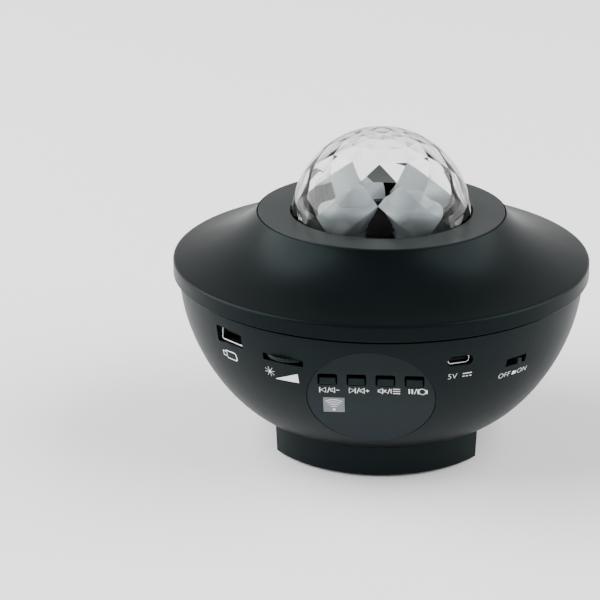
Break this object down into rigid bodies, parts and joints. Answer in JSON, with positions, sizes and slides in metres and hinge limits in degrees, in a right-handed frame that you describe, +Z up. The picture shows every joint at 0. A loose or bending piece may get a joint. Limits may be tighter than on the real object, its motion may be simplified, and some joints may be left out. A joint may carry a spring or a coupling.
{
  "type": "star night light projector",
  "caption": "Round table-top star projector: black bowl and flared shell, clear faceted dome over lamp lenses, tilted key panel, sockets, power slider and brightness wheel.",
  "frame": {"origin": "on the table under the middle of the foot", "axes": "+Z up, the controls face -Y, +X to the right of someone facing the controls"},
  "size_m": [0.1664, 0.1664, 0.1285],
  "materials": {
    "black_shell": "satin moulded",
    "ring_black": "satin moulded",
    "black_key": "satin",
    "clear_dome": "clear polished plastic",
    "clear_lens": "clear polished plastic",
    "ir_grey": "smoked gloss",
    "lamp_grey": "light grey gloss",
    "rubber": "matt",
    "steel": "plain",
    "aluminium": "anodised",
    "brass": "turned",
    "board_green": "solder mask",
    "white_plastic": "plain",
    "dark_part": "plain",
    "paper_cone": "pressed paper"
  },
  "bodies": {
    "housing": {"top_shell": "black_shell", "bezel_ring": "ring_black", "dome_cover": "clear_dome", "bowl_shell": "black_shell", "base_cover": "black_shell", "rubber_feet": "rubber", "base_screws": "steel", "shell_screws": "steel", "speaker_frame": "steel", "speaker_magnet": "dark_part", "speaker_cone": "paper_cone", "panel_plate": "black_shell", "ir_window": "ir_grey", "key_board": "board_green", "tact_switches": "dark_part", "key_board_screws": "steel", "ir_receiver": "dark_part", "main_board": "board_green", "main_board_screws": "steel", "radio_module": "steel", "control_chips": "dark_part", "capacitors": "aluminium", "usb_a_shell": "steel", "usb_a_tongue": "white_plastic", "usb_c_shell": "steel", "usb_c_tongue": "dark_part", "power_switch_body": "dark_part", "dimmer_pot": "dark_part", "lamp_deck": "dark_part", "deck_screws": "steel", "heat_sink": "aluminium", "led_board": "white_plastic", "led_board_screws": "steel", "led_chips": "white_plastic", "lens_barrels": "lamp_grey", "condenser_lenses": "clear_lens", "laser_module": "dark_part", "laser_cap": "dark_part", "gear_motor": "steel", "motor_strap": "dark_part", "strap_screws": "steel"},
    "previous_key": {"previous_key": "black_key"},
    "next_key": {"next_key": "black_key"},
    "mute_key": {"mute_key": "black_key"},
    "play_key": {"play_key": "black_key"},
    "power_slider": {"power_slider": "black_key"},
    "dimmer_wheel": {"dimmer_wheel": "black_key"},
    "ripple_dome": {"ripple_dome": "clear_lens"},
    "pinion": {"motor_pinion": "white_plastic", "motor_shaft": "steel"}
  },
  "joints": [
    {"name": "previous_press", "type": "slide", "parent": "housing", "child": "previous_key", "axis": [0, 1, 0], "range_m": [0, 0.0005], "stiffness_N_per_m": 400},
    {"name": "next_press", "type": "slide", "parent": "housing", "child": "next_key", "axis": [0, 1, 0], "range_m": [0, 0.0005], "stiffness_N_per_m": 400},
    {"name": "mute_press", "type": "slide", "parent": "housing", "child": "mute_key", "axis": [0, 1, 0], "range_m": [0, 0.0005], "stiffness_N_per_m": 400},
    {"name": "play_press", "type": "slide", "parent": "housing", "child": "play_key", "axis": [0, 1, 0], "range_m": [0, 0.0005], "stiffness_N_per_m": 400},
    {"name": "power_slide", "type": "slide", "parent": "housing", "child": "power_slider", "axis": [0.7169, 0.6972, 0], "range_m": [-0.002, 0]},
    {"name": "brightness_turn", "type": "hinge", "parent": "housing", "child": "dimmer_wheel", "pos_m": [-0.03053, -0.06488, 0.0581], "axis": [0, 0, 1], "range_deg": [-135, 135]},
    {"name": "ripple_spin", "type": "hinge", "parent": "housing", "child": "ripple_dome", "pos_m": [0, 0, 0.0927], "axis": [0, 0, 1], "continuous": true},
    {"name": "pinion_spin", "type": "hinge", "parent": "housing", "child": "pinion", "pos_m": [0, 0.0264, 0.088], "axis": [0, 0, 1], "continuous": true}
  ],
  "couplings": [
    {"joint": "pinion_spin", "follows": "ripple_spin", "ratio": 7.6}
  ]
}
